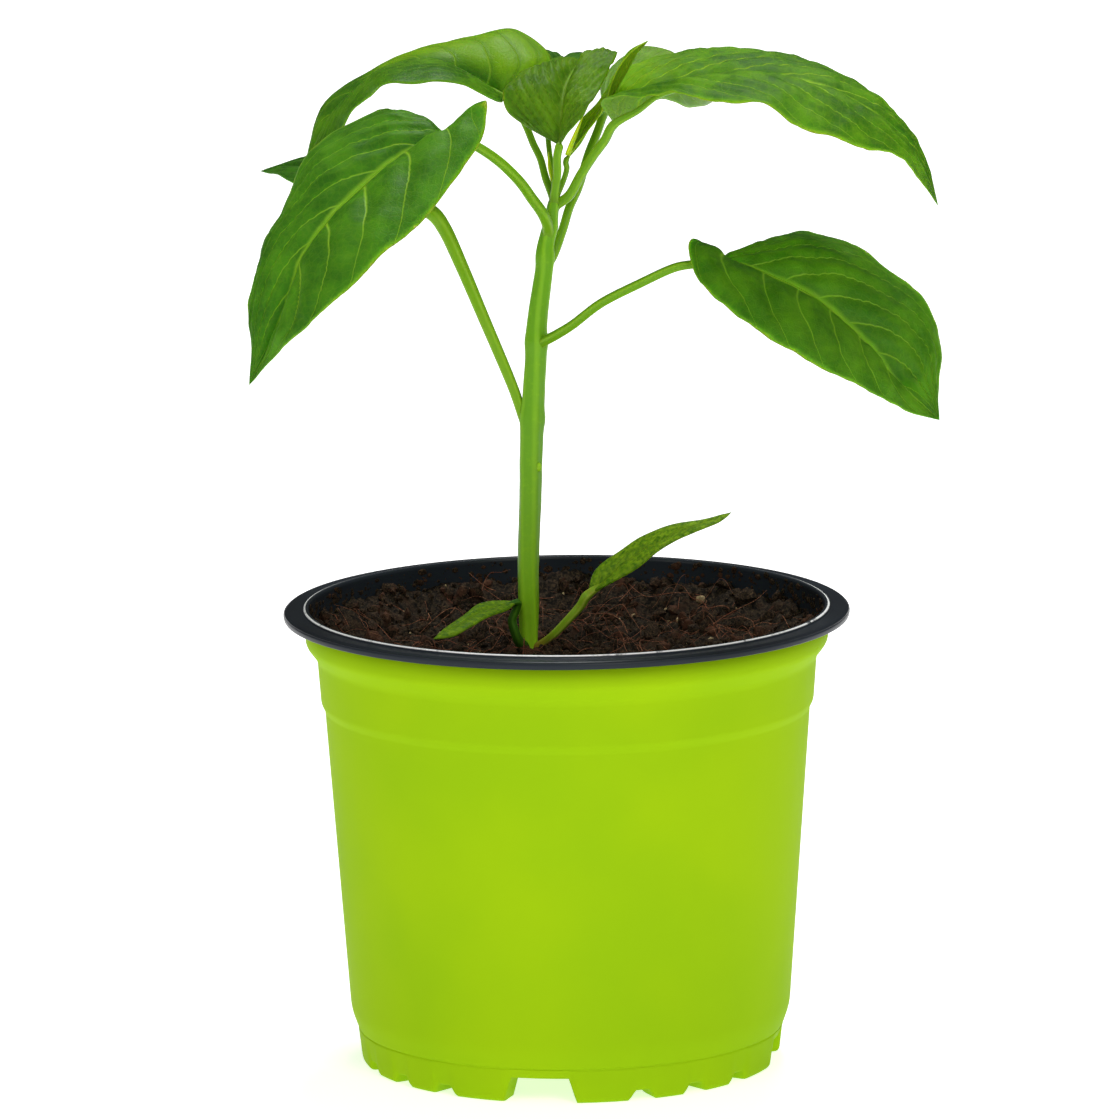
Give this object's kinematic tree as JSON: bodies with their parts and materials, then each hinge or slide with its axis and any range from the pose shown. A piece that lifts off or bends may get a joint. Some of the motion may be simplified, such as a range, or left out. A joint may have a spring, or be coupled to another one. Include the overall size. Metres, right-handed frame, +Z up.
{
  "type": "potted sweet pepper plant",
  "caption": "Young sweet pepper plant with large drooping leaves, rooted in compost in a round two-tone nursery pot on a ring of feet.",
  "frame": {"origin": "on the pot's axis, in the plane that the pot's feet stand on", "axes": "+Z up along the pot's axis, -Y the plant's front, +X its right"},
  "size_m": [0.1448, 0.126, 0.2186],
  "materials": {
    "pot_green": "satin",
    "pot_black": "gloss",
    "soil": "matte",
    "perlite": "matte",
    "root_fibre": "matte",
    "stem": "satin",
    "leaf": "satin",
    "young_leaf": "satin",
    "seed_leaf": "satin"
  },
  "bodies": {
    "root": {"pot": "pot_green", "soil": "soil", "stem": "stem", "leaf_front_left": "leaf", "leaf_back_left": "leaf", "leaf_upper_left": "leaf", "leaf_upper_right": "leaf", "leaf_back_right": "leaf", "leaf_lower_right": "leaf", "leaf_centre": "young_leaf", "leaf_folded": "young_leaf", "leaf_back": "young_leaf", "bud_right": "young_leaf", "bud_left": "young_leaf", "seed_leaf_left": "seed_leaf", "seed_leaf_right": "seed_leaf"}
  },
  "joints": []
}
